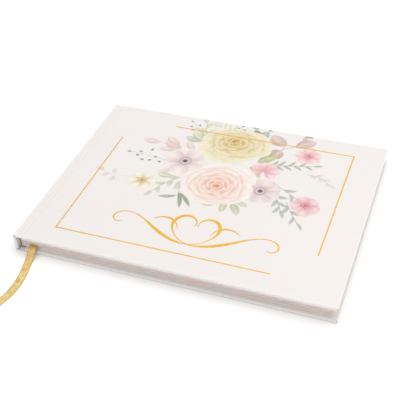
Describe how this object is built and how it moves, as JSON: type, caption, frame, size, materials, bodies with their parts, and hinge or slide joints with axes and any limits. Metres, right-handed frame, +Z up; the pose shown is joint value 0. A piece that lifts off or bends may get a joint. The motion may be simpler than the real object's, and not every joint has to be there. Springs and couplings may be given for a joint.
{
  "type": "wedding guest book",
  "caption": "Landscape hardcover guest book with a foil-stamped, flower-printed cover, hollow spine, sewn page sections and a satin ribbon marker.",
  "frame": {"origin": "middle of the closed book's underside, on the surface it lies on", "axes": "+X from the spine to the fore edge, +Y from the tail to the head, +Z up out of the front cover"},
  "size_m": [0.2478, 0.2553, 0.0135],
  "materials": {
    "greyboard": "raw",
    "cover_paper": "smooth laminated",
    "end_paper": "matte",
    "pages": "matte",
    "lining": "gauze",
    "gold_foil": "stamped foil",
    "ribbon": "satin"
  },
  "bodies": {
    "back_case": {"back_board": "greyboard", "back_cover_paper": "cover_paper", "back_pastedown": "end_paper", "rear_hinge_paper": "cover_paper", "back_flyleaf": "end_paper", "section_08": "pages", "section_09": "pages", "section_10": "pages", "ribbon_inner": "ribbon", "ribbon_tail": "ribbon"},
    "spine": {"spine_board": "greyboard", "spine_cover_paper": "cover_paper", "front_hinge_paper": "cover_paper"},
    "front_case": {"front_board": "greyboard", "front_cover_paper": "cover_paper", "front_pastedown": "end_paper", "foil_frame_lower": "gold_foil", "foil_frame_upper": "gold_foil", "foil_flourish": "gold_foil"},
    "lining": {"spine_lining": "lining"},
    "front_leaf": {"front_flyleaf": "end_paper"},
    "turned_section_01": {"section_01": "pages"},
    "turned_section_02": {"section_02": "pages"},
    "turned_section_03": {"section_03": "pages"},
    "turned_section_04": {"section_04": "pages"},
    "turned_section_05": {"section_05": "pages"},
    "lifted_section_06": {"section_06": "pages"},
    "lifted_section_07": {"section_07": "pages"}
  },
  "joints": [
    {"name": "spine_hinge", "type": "hinge", "parent": "back_case", "child": "spine", "pos_m": [-0.11525, 0, 0.00225], "axis": [0, -1, 0], "range_deg": [0, 90], "deforming": ["rear_hinge_paper"]},
    {"name": "cover_hinge", "type": "hinge", "parent": "spine", "child": "front_case", "pos_m": [-0.11525, 0, 0.01115], "axis": [0, -1, 0], "range_deg": [0, 90], "deforming": ["front_hinge_paper"]},
    {"name": "lining_fold", "type": "hinge", "parent": "back_case", "child": "lining", "pos_m": [-0.11325, 0, 0.0027], "axis": [0, -1, 0], "range_deg": [0, 90]},
    {"name": "flyleaf_turn", "type": "hinge", "parent": "back_case", "child": "front_leaf", "pos_m": [-0.11513, 0, 0.00685], "axis": [0, -1, 0], "range_deg": [0, 180]},
    {"name": "section_01_turn", "type": "hinge", "parent": "back_case", "child": "turned_section_01", "pos_m": [-0.11489, 0, 0.00685], "axis": [0, -1, 0], "range_deg": [0, 180]},
    {"name": "section_02_turn", "type": "hinge", "parent": "back_case", "child": "turned_section_02", "pos_m": [-0.11453, 0, 0.00685], "axis": [0, -1, 0], "range_deg": [0, 179.9]},
    {"name": "section_03_turn", "type": "hinge", "parent": "back_case", "child": "turned_section_03", "pos_m": [-0.11416, 0, 0.00685], "axis": [0, -1, 0], "range_deg": [0, 179.6]},
    {"name": "section_04_turn", "type": "hinge", "parent": "back_case", "child": "turned_section_04", "pos_m": [-0.1138, 0, 0.00685], "axis": [0, -1, 0], "range_deg": [0, 179.1]},
    {"name": "section_05_turn", "type": "hinge", "parent": "back_case", "child": "turned_section_05", "pos_m": [-0.11343, 0, 0.00685], "axis": [0, -1, 0], "range_deg": [0, 178.3]},
    {"name": "section_06_lift", "type": "hinge", "parent": "back_case", "child": "lifted_section_06", "pos_m": [-0.11325, 0, 0.00612], "axis": [0, -1, 0], "range_deg": [0, 1.5]},
    {"name": "section_07_lift", "type": "hinge", "parent": "back_case", "child": "lifted_section_07", "pos_m": [-0.11325, 0, 0.00539], "axis": [0, -1, 0], "range_deg": [0, 0.6]}
  ],
  "couplings": [
    {"joint": "cover_hinge", "follows": "spine_hinge", "ratio": 1},
    {"joint": "lining_fold", "follows": "spine_hinge", "ratio": 1},
    {"joint": "flyleaf_turn", "follows": "spine_hinge", "ratio": 2},
    {"joint": "section_01_turn", "follows": "spine_hinge", "ratio": 2},
    {"joint": "section_02_turn", "follows": "spine_hinge", "ratio": 1.9989},
    {"joint": "section_03_turn", "follows": "spine_hinge", "ratio": 1.9956},
    {"joint": "section_04_turn", "follows": "spine_hinge", "ratio": 1.99},
    {"joint": "section_05_turn", "follows": "spine_hinge", "ratio": 1.9811},
    {"joint": "section_06_lift", "follows": "spine_hinge", "ratio": 0.016667},
    {"joint": "section_07_lift", "follows": "spine_hinge", "ratio": 0.006667}
  ]
}
